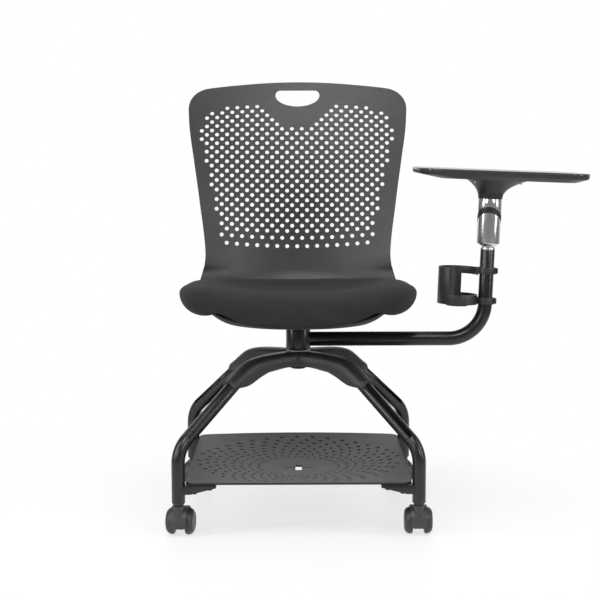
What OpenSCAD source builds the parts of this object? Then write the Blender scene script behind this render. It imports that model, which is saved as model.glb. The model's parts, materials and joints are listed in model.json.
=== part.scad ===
// Swivelling student desk chair: a four-legged base on casters with a storage shelf,
// a shell seat that turns on a spindle, and an arm that carries a cup holder and a
// writing tablet round the same spindle. Front is -Y, up is +Z, and the origin is on
// the floor, on the spindle's axis.

/* [Base] */
// Half the distance between the casters' stems, side to side
foot_x = 222; // [210:1:235]
// Half the distance between the casters' stems, front to back
foot_y = 208; // [200:1:215]
// Outside diameter of the leg tubes
leg_d = 25; // [22:0.5:26]
// Wall of every steel tube
tube_wall = 2; // [1.5:0.1:2.5]
// Slope of the legs' upper stretch, in degrees from level
leg_slope = 37.5; // [34:0.5:40]
// Height where the sloping stretch of a leg meets its upright stretch
knee_z = 163; // [150:1:170]
// Diameter of the caster wheels
wheel_d = 50; // [46:1:52]

/* [Shelf] */
// Half the width of the shelf between the legs
shelf_x = 209; // [190:1:209]
// Front edge of the shelf, measured from the spindle
shelf_front = 215; // [205:1:225]
// Rear edge of the shelf, measured from the spindle
shelf_rear = 225; // [215:1:235]
// Depth of the dish in the middle of the shelf
shelf_dish = 22; // [10:1:26]

/* [Seat] */
// Half the width of the cushion at its widest
cushion_x = 235; // [225:1:240]
// Height of the top of the cushion
seat_z = 447; // [442:1:455]
// Thickness of the moulded shell
shell_t = 5; // [4:0.5:6]
// Half the width of the back at its widest
back_x = 225; // [210:1:232]
// Diameter of the spindle
spindle_d = 30; // [28:1:30]

/* [Arm] */
// Outside diameter of the arm tube
arm_d = 28; // [26:0.5:30]
// Distance from the spindle to the corner of the arm
arm_reach = 363.5; // [350:0.5:370]
// Outward lean of the mast, in degrees
mast_lean = 2.3; // [0:0.1:3]
// Outside diameter of the chrome sleeve
sleeve_d = 46; // [44:0.5:48]

/* [Tablet] */
// Length of the tablet, side to side
tablet_x = 321; // [300:1:350]
// Depth of the tablet, front to back
tablet_y = 260; // [240:1:280]
// Distance from the sleeve's axis to the tablet's inner end
tablet_inner = 147; // [130:1:160]

/* [Hidden] */

arm_z = 341;                         // height of the level stretch of the arm
$fn = 64;

run_fit = 0.05;                      // radial clearance of every turning pair
leg_az = atan2(foot_y, foot_x);
leg_r = norm([foot_x, foot_y]);
LEGS = [[-1, -1], [1, -1], [-1, 1], [1, 1]];

// Heights up the middle column
cap_z = 283;
core_z0 = 290;
core_z1 = 318.5;
flange_t = 1.5;
collar_z0 = core_z1 + flange_t + 0.5;
collar_z1 = 362;
core_r = 24;
bush_r = 19;
spindle_r = spindle_d / 2;
bore_r = spindle_r + run_fit;

// Distances up the mast, from the arm's corner along the leaning axis
arm_bend_r = 71;
arm_turn = 90 - mast_lean;
arm_tangent = arm_bend_r * tan(arm_turn / 2);
ring_l0 = 174.6;
ring_l1 = 178.1;
sleeve_l0 = 181.2;
sleeve_l1 = 275;
bracket_l1 = 312;
tray_l1 = 325;
top_l1 = 330;
post_r = 12;
sleeve_wall = 3;

// ---------------------------------------------------------------- shared shapes

// Bar that follows steps of [straight length, bend radius, bend angle towards +X]
module bent_bar(steps, r, i = 0) {
    if (i < len(steps)) {
        go = steps[i][0];
        bend_r = steps[i][1];
        turn = steps[i][2];
        cylinder(h = go, r = r);
        if (turn > 0) {
            translate([bend_r, 0, go])
                rotate([90, 0, 180])
                    rotate_extrude(angle = turn) translate([bend_r, 0]) circle(r = r);
            translate([bend_r, 0, go])
                rotate([0, turn, 0])
                    translate([-bend_r, 0, 0]) bent_bar(steps, r, i + 1);
        }
    }
}

// The same bar, drilled through
module bent_tube(steps, r, wall) {
    last = len(steps) - 1;
    bored = [
        for (i = [0 : last])
            [steps[i][0] + (i == 0 ? 1 : 0) + (i == last ? 1 : 0), steps[i][1], steps[i][2]]
    ];
    difference() {
        bent_bar(steps, r);
        translate([0, 0, -1]) bent_bar(bored, r - wall);
    }
}

module ring(r_out, r_in, h) {
    difference() {
        cylinder(h = h, r = r_out);
        translate([0, 0, -1]) cylinder(h = h + 2, r = r_in);
    }
}

// Square with round corners, made of true arcs
module round_square(w, h, r) {
    square([w - 2 * r, h], center = true);
    square([w, h - 2 * r], center = true);
    for (i = [-1, 1], j = [-1, 1]) translate([i * (w / 2 - r), j * (h / 2 - r)]) circle(r = r);
}

// Closed solid between two grids of points that face each other, a above b
module skin_solid(a, b) {
    n = len(a);
    m = len(a[0]);
    pts = [for (g = [a, b], row = g, p = row) p];
    off = n * m;
    upper = [
        for (i = [0 : n - 2], j = [0 : m - 2])
            each [
                [i * m + j, (i + 1) * m + j, (i + 1) * m + j + 1],
                [i * m + j, (i + 1) * m + j + 1, i * m + j + 1]
            ]
    ];
    lower = [for (f = upper) [f[2] + off, f[1] + off, f[0] + off]];
    rim = concat(
        [for (j = [0 : m - 1]) j],
        [for (i = [1 : n - 1]) i * m + m - 1],
        [for (j = [m - 2 : -1 : 0]) (n - 1) * m + j],
        [for (i = [n - 2 : -1 : 1]) i * m]
    );
    count = len(rim);
    edge = [
        for (k = [0 : count - 1])
            let (p = rim[k], q = rim[(k + 1) % count])
                each [[p, q, q + off], [p, q + off, p + off]]
    ];
    polyhedron(points = pts, faces = concat(upper, lower, edge), convexity = 6);
}

// Value at x of a smooth curve through keys of [x, value]
function slope_at(keys, i) =
    let (n = len(keys) - 1, a = max(0, i - 1), b = min(n, i + 1))
        (keys[b][1] - keys[a][1]) / (keys[b][0] - keys[a][0]);
function smooth_key(keys, x, i = 0) =
    i < len(keys) - 2 && x > keys[i + 1][0] ? smooth_key(keys, x, i + 1) :
    let (
        span = keys[i + 1][0] - keys[i][0],
        u = min(1, max(0, (x - keys[i][0]) / span)),
        m0 = slope_at(keys, i) * span,
        m1 = slope_at(keys, i + 1) * span
    )
    (2 * u * u * u - 3 * u * u + 1) * keys[i][1] + (u * u * u - 2 * u * u + u) * m0
        + (3 * u * u - 2 * u * u * u) * keys[i + 1][1] + (u * u * u - u * u) * m1;

// ---------------------------------------------------------------- hub

module hub_core() {
    color([0.12, 0.12, 0.13])
        translate([0, 0, core_z0]) ring(core_r, bush_r, core_z1 - core_z0);
}

// Flanged plain bearing: the flange is at z = 0 and the barrel runs up from it
module flanged_bush(length) {
    difference() {
        union() {
            cylinder(h = flange_t, r = core_r - 1);
            cylinder(h = flange_t + length, r = bush_r);
        }
        translate([0, 0, -1]) cylinder(h = length + 4, r = bore_r);
    }
}

module hub_bush_lower() {
    color([0.75, 0.74, 0.7]) translate([0, 0, core_z0 - flange_t]) flanged_bush(11);
}

module hub_bush_upper() {
    color([0.75, 0.74, 0.7]) translate([0, 0, core_z1 + flange_t]) mirror([0, 0, 1]) flanged_bush(11);
}

// Shape of a hub cover in plan: its centre line passes in front of the hub and then
// lies over a leg on each side
cover_end = 131;                     // where the cover stops, across the chair
cover_bow = 27;                      // distance from the axis to the line in front of the hub
cover_wall = 2.2;
cover_hw = 15.4;                     // half the width over a leg
cover_steps = 36;
leg_tan = tan(leg_az);
function cover_xy(x) = [x, -sqrt(cover_bow * cover_bow + pow(leg_tan * x, 2))];
function cover_normal(x) =
    let (p = cover_xy(x), dy = leg_tan * leg_tan * x / p[1]) [-dy, 1] / norm([1, dy]);
function cover_inner(x) =
    let (
        p = cover_xy(x),
        n = cover_normal(x),
        over_leg = cover_hw + (-p[1] - leg_tan * abs(x)) * cos(leg_az),
        to_middle = (-0.3 - p[1]) / n[1],
        off_axis = abs(p[0] * n[1] - p[1] * n[0]),
        clear = core_r + 0.4,
        to_core = off_axis < clear ?
            -(p[0] * n[0] + p[1] * n[1]) - sqrt(clear * clear - off_axis * off_axis) : 1000
    )
    min(over_leg, to_middle, to_core);
function cover_top(r) = smooth_key([[0, 319.5], [70, 318], [115, 314], [140, 306], [180, 277]], r);
function cover_low(r) =
    smooth_key([[0, 290.5], [78, 290.5], [112, 280], [141, 267], [160, 264], [190, 263.5]], r);

// Cross-section of the channel, across q and up z
function cover_section(qo, qi, top, low, wall) = [
    [-qo, low], [-qo, top - 11], [-qo + 3, top - 4], [-qo + 8, top - 0.6],
    [(qi - qo) / 2, top],
    [qi - 8, top - 0.6], [qi - 3, top - 4], [qi, top - 11], [qi, low],
    [qi - wall, low], [qi - wall, top - 11 - wall], [qi - wall - 3, top - 4 - wall],
    [(qi - qo) / 2, top - wall],
    [-qo + wall + 3, top - 4 - wall], [-qo + wall, top - 11 - wall], [-qo + wall, low]
];

module hub_cover() {
    xs = [for (i = [0 : cover_steps]) cover_end * (2 * i / cover_steps - 1)];
    rows = [
        for (x = xs)
            let (
                p = cover_xy(x),
                n = cover_normal(x),
                r = norm(p),
                sec = cover_section(cover_hw, cover_inner(x), cover_top(r), cover_low(r), cover_wall)
            )
            [for (s = sec) [p[0] + n[0] * s[0], p[1] + n[1] * s[0], s[1]]]
    ];
    m = len(rows[0]);
    last = len(rows) - 1;
    sides = [
        for (i = [0 : last - 1], j = [0 : m - 1])
            let (k = (j + 1) % m)
                each [
                    [i * m + j, i * m + k, (i + 1) * m + k],
                    [i * m + j, (i + 1) * m + k, (i + 1) * m + j]
                ]
    ];
    polyhedron(
        points = [for (row = rows, p = row) p],
        faces = concat(
            sides,
            [[for (j = [m - 1 : -1 : 0]) j]],
            [[for (j = [0 : m - 1]) last * m + j]]
        ),
        convexity = 6
    );
}

// The cover is trimmed round the sleeve that it is pressed over
module trimmed_cover() {
    difference() {
        hub_cover();
        translate([0, 0, cover_low(0) - 10]) cylinder(h = 50, r = core_r + 0.3, $fn = 64);
    }
}

module hub_cover_front() {
    color([0.15, 0.15, 0.16]) trimmed_cover();
}

module hub_cover_rear() {
    color([0.15, 0.15, 0.16]) rotate([0, 0, 180]) trimmed_cover();
}

// ---------------------------------------------------------------- legs

leg_foot_z = 64;
shoulder_r = 140;
hub_entry_z = 303;
knee_bend = 54;
shoulder_bend = 60;
shoulder_z = knee_z + (leg_r - shoulder_r) * tan(leg_slope);
hub_slope = atan((hub_entry_z - shoulder_z) / shoulder_r);
knee_turn = 90 - leg_slope;
shoulder_turn = leg_slope - hub_slope;
knee_cut = knee_bend * tan(knee_turn / 2);
shoulder_cut = shoulder_bend * tan(shoulder_turn / 2);
LEG_STEPS = [
    [knee_z - leg_foot_z - knee_cut, knee_bend, knee_turn],
    [(leg_r - shoulder_r) / cos(leg_slope) - knee_cut - shoulder_cut, shoulder_bend, shoulder_turn],
    [(shoulder_r - 15) / cos(hub_slope) - shoulder_cut, 0, 0]
];

function leg_angle(side) = atan2(side[1] * foot_y, side[0] * foot_x);

module leg(side) {
    color([0.1, 0.1, 0.11])
        difference() {
            rotate([0, 0, leg_angle(side)])
                translate([leg_r, 0, leg_foot_z])
                    rotate([0, 0, 180]) bent_tube(LEG_STEPS, leg_d / 2, tube_wall);
            translate([0, 0, core_z0 - 20]) cylinder(h = 60, r = core_r);
        }
}

// Tapered plug that closes a leg's lower end and holds the caster's stem
stem_r = 4;
socket_z0 = 58.5;
socket_z1 = 90;
module caster_sockets() {
    plug_r = leg_d / 2 - tube_wall;
    color([0.13, 0.13, 0.14])
        for (side = LEGS)
            translate([side[0] * foot_x, side[1] * foot_y, 0])
                rotate_extrude()
                    polygon([
                        [stem_r + run_fit, socket_z0], [8.5, socket_z0], [leg_d / 2, leg_foot_z],
                        [plug_r, leg_foot_z], [plug_r, socket_z1], [stem_r + run_fit, socket_z1]
                    ]);
}

// ---------------------------------------------------------------- shelf

shelf_t = 4;
shelf_steps = 26;
function shelf_z(x, y) =
    let (
        v = (2 * y - shelf_rear + shelf_front) / (shelf_rear + shelf_front),
        u = x / shelf_x,
        rear_rise = 4 * (1 - u * u) * max(0, v)
    )
    100 + 5 * (v + 1) / 2 + rear_rise - shelf_dish * (1 - u * u) * (1 - v * v);

module shelf() {
    corner = 16;
    ys = [for (i = [0 : shelf_steps]) -shelf_front + (shelf_rear + shelf_front) * i / shelf_steps];
    // Half-width at y, drawn in at the corners
    reach = function (y)
        let (edge = min(y + shelf_front, shelf_rear - y), cut = max(0, corner - edge))
            shelf_x - corner + sqrt(corner * corner - cut * cut);
    grid = function (lift)
        [for (y = ys)
            [for (j = [0 : shelf_steps])
                let (x = -reach(y) * (2 * j / shelf_steps - 1)) [x, y, shelf_z(x, y) + lift]]];
    color([0.33, 0.33, 0.34]) skin_solid(grid(shelf_t / 2), grid(-shelf_t / 2));
}

// Folded gusset under one corner of the shelf, welded to the leg
bracket_in = 152;
bracket_w = 20;
bracket_h = 17;                      // height at the leg
bracket_lip = 5;                     // height at the inner end
bracket_flat = 22;                   // length of the full-height part, from the leg's axis
BRACKET_SCREWS = [bracket_in + 12, bracket_in + 40];
function bracket_drop(x) =
    let (slope = (bracket_h - bracket_lip) / (foot_x - bracket_flat - bracket_in))
        min(bracket_h, bracket_lip + (x - bracket_in) * slope);
module shelf_bracket(side) {
    y = side[1] * foot_y;
    leg_face = foot_x - leg_d / 2 + 0.4;
    top = min(shelf_z(bracket_in, y), shelf_z(leg_face, y)) - shelf_t / 2;
    color([0.1, 0.1, 0.11])
        difference() {
            translate([0, y + bracket_w / 2, 0])
                rotate([90, 0, 0])
                    linear_extrude(height = bracket_w)
                        polygon([
                            [side[0] * (leg_face + 4), top], [side[0] * bracket_in, top],
                            [side[0] * bracket_in, top - bracket_lip],
                            [side[0] * (foot_x - bracket_flat), top - bracket_h],
                            [side[0] * (leg_face + 4), top - bracket_h]
                        ]);
            translate([side[0] * foot_x, y, top - 40]) cylinder(h = 60, r = leg_d / 2);
            for (x = BRACKET_SCREWS) {
                translate([side[0] * x, y, top - 40]) cylinder(h = 60, r = 2.5);
                translate([side[0] * x, y, top - bracket_drop(x) - 10]) cylinder(h = 10, r = 4.8);
            }
        }
}

// Two round-headed screws through each bracket, heads below
module shelf_screws() {
    color([0.2, 0.2, 0.2])
        for (side = LEGS, x = BRACKET_SCREWS)
            let (
                y = side[1] * foot_y,
                top = min(shelf_z(bracket_in, y), shelf_z(foot_x - leg_d / 2 + 0.4, y)) - shelf_t / 2,
                drop = bracket_drop(x)
            )
            translate([side[0] * x, y, top - drop - 3]) {
                cylinder(h = 3, r = 4.5);
                cylinder(h = drop + 3, r = 2.4);
            }
}

// ---------------------------------------------------------------- seat

plate_z0 = 386;
plate_t = 4;
boss_r = 22;

module spindle() {
    color([0.45, 0.45, 0.47])
        translate([0, 0, cap_z + 5]) cylinder(h = plate_z0 - cap_z - 5, r = spindle_r);
}

module spindle_cap() {
    color([0.1, 0.1, 0.1])
        translate([0, 0, cap_z])
            rotate_extrude()
                polygon([[0, 0], [13, 0], [16.5, 2], [16.5, 5], [0, 5]]);
}

// Shell profile in the plane of symmetry: runs of [length, turn] from the front lip,
// over the pan and up the back
SHELL_START = [-219, 388];
SHELL_HEADING = 22;
SHELL_RUNS = [[42, -22], [262, 0], [117, 76], [120, 6], [278, -12]];
shell_len = 42 + 262 + 117 + 120 + 276;
function run_end(p, heading, length, turn) =
    abs(turn) < 0.01 ?
        [p[0] + length * cos(heading), p[1] + length * sin(heading), heading] :
        let (r = length * 180 / (PI * turn))
            [
                p[0] + r * (sin(heading + turn) - sin(heading)),
                p[1] - r * (cos(heading + turn) - cos(heading)),
                heading + turn
            ];
// Point and heading [y, z, heading] at distance s along the profile
function shell_line(s, p = SHELL_START, heading = SHELL_HEADING, i = 0) =
    let (length = SHELL_RUNS[i][0], turn = SHELL_RUNS[i][1])
        s <= length || i == len(SHELL_RUNS) - 1 ?
            run_end(p, heading, s, turn * s / length) :
            let (q = run_end(p, heading, length, turn))
                shell_line(s - length, [q[0], q[1]], q[2], i + 1);

lip_corner = 52;
back_corner = 56;
back_crown = 20;
// Half-width of the shell and depth of its sideways curve, by distance along the profile
SHELL_WIDTH = [
    [0, 150], [62, 166], [150, 192], [260, 203], [340, 202], [400, 194], [450, 188.5],
    [560, 201], [700, back_x - 4], [760, back_x], [820, back_x]
];
SHELL_DEPTH = [[0, 17], [150, 22], [300, 24], [380, 40], [450, 48], [600, 42], [820, 32]];
SHELL_POWER = [[0, 2.6], [300, 2.6], [420, 2], [820, 2]];

function shell_bend(x, s) =
    smooth_key(SHELL_DEPTH, s)
        * pow(abs(x) / smooth_key(SHELL_WIDTH, s), smooth_key(SHELL_POWER, s));
function shell_point(q, hw, s, lift) =
    let (
        x = q * hw,
        rise = max(0, (s - shell_len + 160) / 160),
        l = shell_line(s - back_crown * q * q * rise),
        d = shell_bend(x, s) + lift
    )
    [x, l[0] - d * sin(l[2]), l[1] + d * cos(l[2])];

lip_steps = 6;
pan_steps = 34;
// Rows of [distance, half-width]: a quarter circle at the lip, the long sides, a
// quarter circle at the top corners
SHELL_ROWS = concat(
    [for (i = [0 : lip_steps - 1])
        let (a = 90 * i / lip_steps)
            [lip_corner * (1 - cos(a)),
             smooth_key(SHELL_WIDTH, lip_corner) - lip_corner * (1 - sin(a))]],
    [for (i = [0 : pan_steps])
        let (s = lip_corner + (shell_len - lip_corner - back_corner) * i / pan_steps)
            [s, smooth_key(SHELL_WIDTH, s)]],
    [for (i = [1 : lip_steps])
        let (a = 90 * i / lip_steps)
            [shell_len - back_corner * (1 - sin(a)), back_x - back_corner * (1 - cos(a))]]
);
shell_across = 22;
function shell_grid(lift) = [
    for (row = SHELL_ROWS)
        [for (j = [0 : shell_across]) shell_point(1 - 2 * j / shell_across, row[1], row[0], lift)]
];

handle_w = 92;
handle_h = 33;
handle_top = 833;
handle_corner = 10;
// Hand hole: flat along the top, bowl-shaped below
module handle_outline() {
    hull() {
        for (i = [-1, 1])
            translate([i * (handle_w / 2 - handle_corner), -handle_corner])
                circle(r = handle_corner, $fn = 32);
        intersection() {
            translate([0, -handle_corner])
                scale([handle_w / 2, handle_h - handle_corner]) circle(r = 1, $fn = 48);
            translate([-handle_w / 2, -handle_h]) square([handle_w, handle_h - handle_corner]);
        }
    }
}

module seat_shell() {
    color([0.17, 0.17, 0.18])
        difference() {
            skin_solid(shell_grid(shell_t / 2), shell_grid(-shell_t / 2));
            translate([0, 320, handle_top])
                rotate([90, 0, 0]) linear_extrude(height = 160) handle_outline();
            for (x = [-seat_bolt, seat_bolt], y = [-seat_bolt, seat_bolt])
                translate([x, y, plate_z0]) cylinder(h = 30, r = 3.4, $fn = 16);
        }
}

// Steel plate welded to the spindle, with a boss below and four pads up to the shell
seat_bolt = 70;
module seat_plate() {
    pad_top = shell_line(200)[1] - shell_t / 2;
    color([0.12, 0.12, 0.13])
        difference() {
            union() {
                translate([0, 0, plate_z0])
                    linear_extrude(height = plate_t) round_square(190, 190, 20);
                translate([0, 0, collar_z1 + 0.5])
                    cylinder(h = plate_z0 - collar_z1 - 0.5, r = boss_r);
                for (x = [-seat_bolt, seat_bolt], y = [-seat_bolt, seat_bolt])
                    translate([x, y, plate_z0]) cylinder(h = pad_top - plate_z0, r = 9);
            }
            translate([0, 0, collar_z1 - 1]) cylinder(h = plate_z0 - collar_z1 + 1, r = spindle_r);
            for (x = [-seat_bolt, seat_bolt], y = [-seat_bolt, seat_bolt])
                translate([x, y, plate_z0 - 1]) cylinder(h = 30, r = 3.4);
        }
}

module seat_screws() {
    color([0.3, 0.3, 0.31])
        for (x = [-seat_bolt, seat_bolt], y = [-seat_bolt, seat_bolt])
            translate([x, y, plate_z0 - 4]) {
                cylinder(h = 4, r = 6);
                cylinder(h = 17, r = 3);
            }
}

// Upholstered pad over the pan. It is a grid in plan whose underside follows the pan at
// a small distance; its top comes down to the underside round the rim.
cushion_mid = -20;
cushion_front = -232;
cushion_rear = 158;
cushion_gap = 1.5;
cushion_hollow = 44;                 // how far the rear corners come forward round the shell
cushion_steps = 26;
function cushion_hw(y) =
    y < cushion_mid ?
        let (e = min(0.985, (cushion_mid - y) / (cushion_mid - cushion_front)))
            cushion_x * pow(1 - pow(e, 3.2), 1 / 3.2) :
        let (e = min(0.985, (y - cushion_mid) / (cushion_rear - cushion_mid)))
            cushion_x * (1 - 0.1 * e * e) * pow(1 - pow(e, 10), 0.1);
// Distance along the shell's profile of the point at y, for the pan and the rear bend
pan_front = -178;
pan_end = 84;
rear_r = 117 * 180 / (PI * 76);
function pan_s(y) =
    y < pan_front ? max(0, 42 + (y - pan_front)) :
    y < pan_end ? 42 + y - pan_front :
    304 + asin(min(0.99, (y - pan_end) / rear_r)) * PI / 180 * rear_r;
// Distance along the profile of the shell's upper face at (x, y), by repeated steps
function face_s(x, y, s, tries = 10) =
    tries == 0 ? s :
    let (d = shell_bend(x, s) + shell_t / 2 + cushion_gap)
        face_s(x, y, pan_s(y + d * sin(shell_line(s)[2])), tries - 1);
function cushion_low(x, y) =
    let (s = face_s(x, y, pan_s(y)), l = shell_line(s))
        l[1] + (shell_bend(x, s) + shell_t / 2 + cushion_gap) * cos(l[2]);
function cushion_high(x, y) =
    let (
        u = x / cushion_x,
        v = (y - cushion_mid) / 200,
        dish = 9 * max(0, 1 - u * u - v * v),
        fall = 38 * pow(max(0, -130 - y) / 102, 2.2)
    )
    seat_z - dish - fall;
function cushion_close(e) = sqrt(max(0.0, 1 - pow(max(0, (abs(e) - 0.86) / 0.14), 2)));
function cushion_grid(side) = [
    for (i = [0 : cushion_steps])
        let (
            e = 1.97 * i / cushion_steps - 0.985,
            row_y = e < 0 ? cushion_mid + e * (cushion_mid - cushion_front)
                          : cushion_mid + e * (cushion_rear - cushion_mid)
        )
        [for (j = [0 : cushion_steps])
            let (
                q = 1 - 2 * j / cushion_steps,
                x = q * cushion_hw(row_y),
                y = row_y - cushion_hollow * pow(x / 200, 2) * pow(max(0, e), 2),
                low = cushion_low(x, y),
                high = max(cushion_high(x, y), low + 4),
                close = 0.3 + 0.7 * cushion_close(q) * cushion_close(e)
            )
            [x, y, side > 0 ? low + (high - low) * close : low]]
];

module seat_cushion() {
    color([0.1, 0.1, 0.1]) skin_solid(cushion_grid(1), cushion_grid(0));
}

// ---------------------------------------------------------------- arm

collar_r_in = 18;
module arm_collar() {
    color([0.1, 0.1, 0.11])
        translate([0, 0, collar_z0]) ring(core_r, collar_r_in, collar_z1 - collar_z0);
}

module collar_bush() {
    color([0.75, 0.74, 0.7])
        translate([0, 0, collar_z0]) ring(collar_r_in, bore_r, collar_z1 - collar_z0);
}

// One tube in three stretches: level, bent and leaning. The level one is cut to the collar.
arm_r = arm_d / 2;
arm_bore = arm_r - tube_wall;
module arm_tube() {
    level_x = 15;
    bend_x = arm_reach - arm_tangent;
    color([0.1, 0.1, 0.11]) {
        difference() {
            translate([level_x, 0, arm_z]) rotate([0, 90, 0]) ring(arm_r, arm_bore, bend_x - level_x);
            translate([0, 0, arm_z - 30]) cylinder(h = 60, r = core_r);
        }
        translate([bend_x, 0, arm_z + arm_bend_r])
            rotate([90, 0, 0])
                rotate([0, 0, -90])
                    rotate_extrude(angle = arm_turn)
                        translate([arm_bend_r, 0])
                            difference() {
                                circle(r = arm_r);
                                circle(r = arm_bore);
                            }
        on_mast() translate([0, 0, arm_tangent]) ring(arm_r, arm_bore, ring_l0 - arm_tangent);
    }
}

// Moves a shape made up the Z axis on to the leaning mast
module on_mast() {
    translate([arm_reach, 0, arm_z]) rotate([0, mast_lean, 0]) children();
}

module mast_post() {
    color([0.5, 0.5, 0.52])
        on_mast() translate([0, 0, 130]) cylinder(h = sleeve_l1 - 134, r = post_r);
}

module mast_ring() {
    color([0.8, 0.8, 0.82])
        on_mast() translate([0, 0, ring_l0]) ring(arm_d / 2 + 0.8, post_r, ring_l1 - ring_l0);
}

// Cup holder: a floor and a low hoop, a tall wall round the outer side, and an upper
// arm; hoop and arm end in clips round the mast
cup_r = 39;
cup_wall = 3.2;
cup_l0 = 70;
cup_l1 = 139;
cup_gap = 2;
hoop_h = 16;
arm_h = 15;
clip_h = 13;
clip_wall = 3.5;
clip_low = 68;
clip_high = 127;
boss_h = 4;
cup_x = -(arm_d / 2 + cup_r + cup_gap);
module cup_sector(a0, a1, r) {
    polygon(concat([[0, 0]], [for (i = [0 : 8]) let (a = a0 + (a1 - a0) * i / 8) r * [cos(a), sin(a)]]));
}
module cup_band(z0, z1, a0, a1) {
    translate([cup_x, 0, z0])
        intersection() {
            ring(cup_r, cup_r - cup_wall, z1 - z0);
            translate([0, 0, -1]) linear_extrude(height = z1 - z0 + 2) cup_sector(a0, a1, cup_r * 1.6);
        }
}
module cup_clip(z) {
    difference() {
        union() {
            translate([0, 0, z]) cylinder(h = clip_h, r = arm_d / 2 + clip_wall);
            translate([-arm_d / 2 - clip_wall - 4, -7, z]) cube([8, 14, clip_h]);
            translate([arm_d / 2, -5, z + 1]) cube([clip_wall + 4, 10, clip_h - 2]);
        }
        translate([0, 0, z - 1]) cylinder(h = clip_h + 2, r = arm_d / 2);
        translate([arm_d / 2 + clip_wall, -8, z + clip_h / 2]) rotate([-90, 0, 0]) cylinder(h = 16, r = 2);
        translate([arm_d / 2 + clip_wall, -12, z + clip_h / 2]) rotate([-90, 0, 0]) cylinder(h = 7, r = 3.8);
    }
}
module cup_holder() {
    color([0.16, 0.16, 0.17])
        on_mast() {
            cup_band(cup_l0, cup_l1, 74, 237);
            cup_band(cup_l1 - arm_h, cup_l1, 2, 75);
            translate([cup_x, 0, cup_l0]) ring(cup_r, cup_r - cup_wall, hoop_h);
            translate([cup_x, 0, cup_l0 - 3]) cylinder(h = 3, r = cup_r);
            translate([cup_x, 0, cup_l0 - 3 - boss_h]) cylinder(h = boss_h, r = 21);
            cup_clip(clip_low);
            cup_clip(clip_high);
        }
}

module cup_holder_screws() {
    color([0.25, 0.25, 0.25])
        on_mast()
            for (z = [clip_low, clip_high])
                translate([arm_d / 2 + clip_wall, -8, z + clip_h / 2])
                    rotate([-90, 0, 0]) {
                        cylinder(h = 16, r = 1.95);
                        cylinder(h = 2.8, r = 3.6);
                    }
}

// ---------------------------------------------------------------- tablet

sleeve_r = sleeve_d / 2;
sleeve_bore = sleeve_r - sleeve_wall;
module tablet_sleeve() {
    nose = 15.5;
    color([0.82, 0.82, 0.84])
        on_mast()
            difference() {
                rotate_extrude()
                    polygon([
                        [post_r + 0.6, sleeve_l0], [nose, sleeve_l0], [sleeve_r, sleeve_l0 + 6],
                        [sleeve_r, sleeve_l1], [sleeve_bore, sleeve_l1],
                        [sleeve_bore, sleeve_l0 + 9], [post_r + 0.6, sleeve_l0 + 6]
                    ]);
                band_slab(0.4) ring(sleeve_r + 2, sleeve_r - 1.2, sleeve_l1);
            }
}

// Cuts children down to the slanting slab that the sleeve's band lies in
band_mid = 233;
band_t = 8;
module band_slab(extra) {
    intersection() {
        children();
        translate([0, 0, band_mid])
            rotate([-41, 8, 0]) cube([90, 90, band_t + extra], center = true);
    }
}

module sleeve_band() {
    color([0.06, 0.06, 0.06]) on_mast() band_slab(0) ring(sleeve_r + 0.2, sleeve_r - 1.2, sleeve_l1);
}

module sleeve_bush(l0, h) {
    color([0.75, 0.74, 0.7])
        on_mast() translate([0, 0, l0]) ring(sleeve_bore, post_r + run_fit, h);
}

// Moulded flare between the sleeve and the tablet: round below, a rounded oblong above
bracket_in_x = 50;
bracket_out_x = 74;
bracket_y = 48;
bracket_rings = 12;
bracket_sides = 48;
function bracket_point(a, k) =
    let (
        ease = pow(k, 2.3),
        out = cos(a) > 0 ? bracket_out_x : bracket_in_x,
        foot = sleeve_r + 0.6,
        px = (foot + (out - foot) * ease) * sign(cos(a)) * pow(abs(cos(a)), 1 - 0.35 * ease),
        py = (foot + (bracket_y - foot) * ease) * sign(sin(a)) * pow(abs(sin(a)), 1 - 0.35 * ease)
    )
    [px, py, sleeve_l1 - 1 + (bracket_l1 - sleeve_l1 + 1) * k];
module tablet_bracket() {
    m = bracket_sides;
    n = bracket_rings;
    pts = [for (i = [0 : n], j = [0 : m - 1]) bracket_point(360 * j / m, i / n)];
    walls = [
        for (i = [0 : n - 1], j = [0 : m - 1])
            let (k = (j + 1) % m)
                each [
                    [i * m + j, (i + 1) * m + j, (i + 1) * m + k],
                    [i * m + j, (i + 1) * m + k, i * m + k]
                ]
    ];
    color([0.12, 0.12, 0.13])
        on_mast()
            difference() {
                polyhedron(
                    points = pts,
                    faces = concat(walls, [[for (j = [0 : m - 1]) j]],
                                   [[for (j = [m - 1 : -1 : 0]) n * m + j]]),
                    convexity = 4
                );
                translate([0, 0, sleeve_l1 - 2]) cylinder(h = 2, r = sleeve_r, $fn = 48);
                for (p = TABLET_BOLTS)
                    translate([p[0], p[1], bracket_l1 - 9]) cylinder(h = 12, r = 2.6, $fn = 16);
            }
}

TABLET_BOLTS = [[-34, -30], [-34, 30], [54, -30], [54, 30]];
tablet_mid = tablet_x / 2 - tablet_inner;
tray_in_x = 66;                      // how much shorter the tray is below than above
tray_in_y = 26;
tray_shift = 8;                      // its underside lies this far towards the outer end
module tablet_tray() {
    color([0.14, 0.14, 0.15])
        on_mast()
            difference() {
                hull() {
                    translate([tablet_mid, 0, tray_l1 - 1])
                        linear_extrude(height = 1) round_square(tablet_x, tablet_y, 42, $fn = 32);
                    translate([tablet_mid, 0, tray_l1 - 6])
                        linear_extrude(height = 1) round_square(tablet_x - 4, tablet_y - 4, 40, $fn = 32);
                    translate([tablet_mid + tray_shift, 0, bracket_l1])
                        linear_extrude(height = 1)
                            round_square(tablet_x - tray_in_x, tablet_y - tray_in_y, 34, $fn = 32);
                }
                for (p = TABLET_BOLTS)
                    translate([p[0], p[1], bracket_l1 - 1]) cylinder(h = 9, r = 2.1, $fn = 16);
            }
}

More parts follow.
